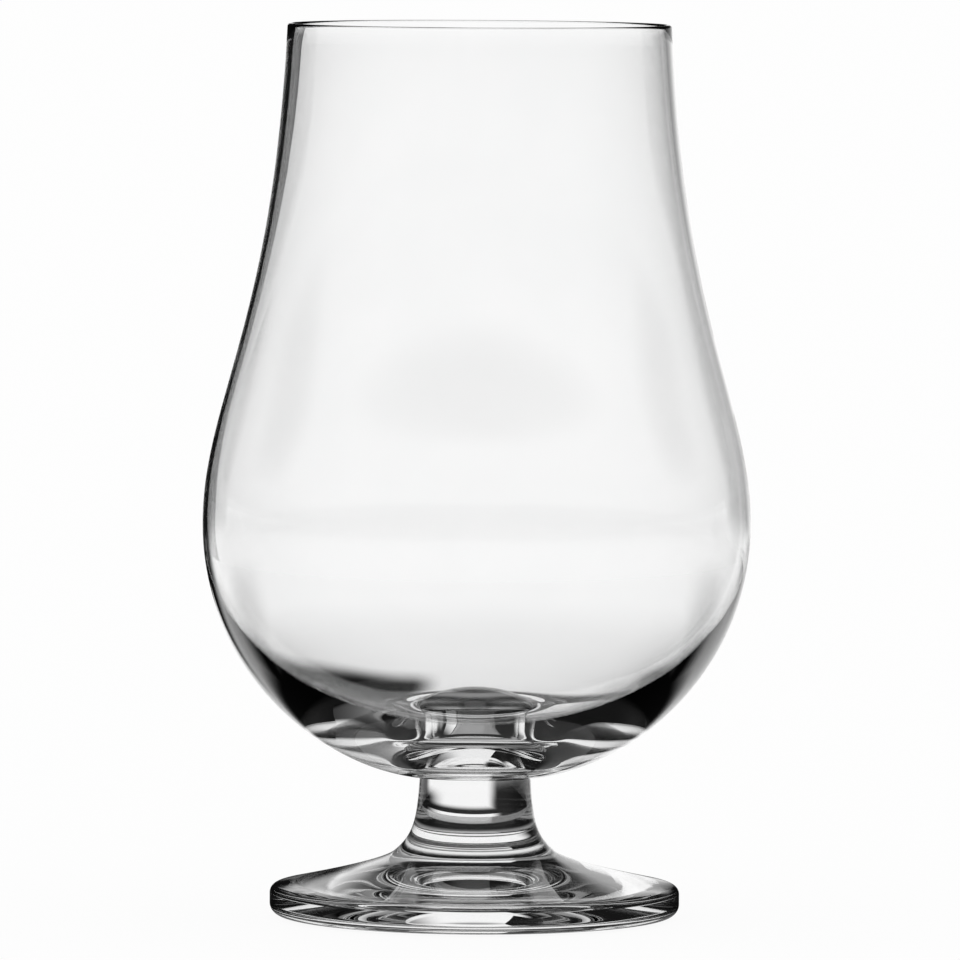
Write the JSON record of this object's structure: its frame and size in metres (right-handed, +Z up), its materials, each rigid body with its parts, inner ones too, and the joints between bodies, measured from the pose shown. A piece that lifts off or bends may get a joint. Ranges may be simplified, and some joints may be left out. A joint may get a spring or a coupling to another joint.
{
  "type": "tulip rum glass",
  "caption": "Clear stemmed spirit glass with a tulip bowl that narrows to a tall mouth, a short solid stem and a round foot, for nosing and sipping rum.",
  "frame": {"origin": "centre of the foot's underside, on the surface that the glass stands on", "axes": "+Z up along the axis of the glass, from the foot to the mouth; the glass is the same all round, so +X and +Y are any two level directions"},
  "size_m": [0.0706, 0.0706, 0.115],
  "materials": {
    "clear_glass": "clear colourless glass with a fire-polished surface"
  },
  "bodies": {
    "root": {"bowl": "clear_glass", "stem": "clear_glass", "foot": "clear_glass"}
  },
  "joints": []
}
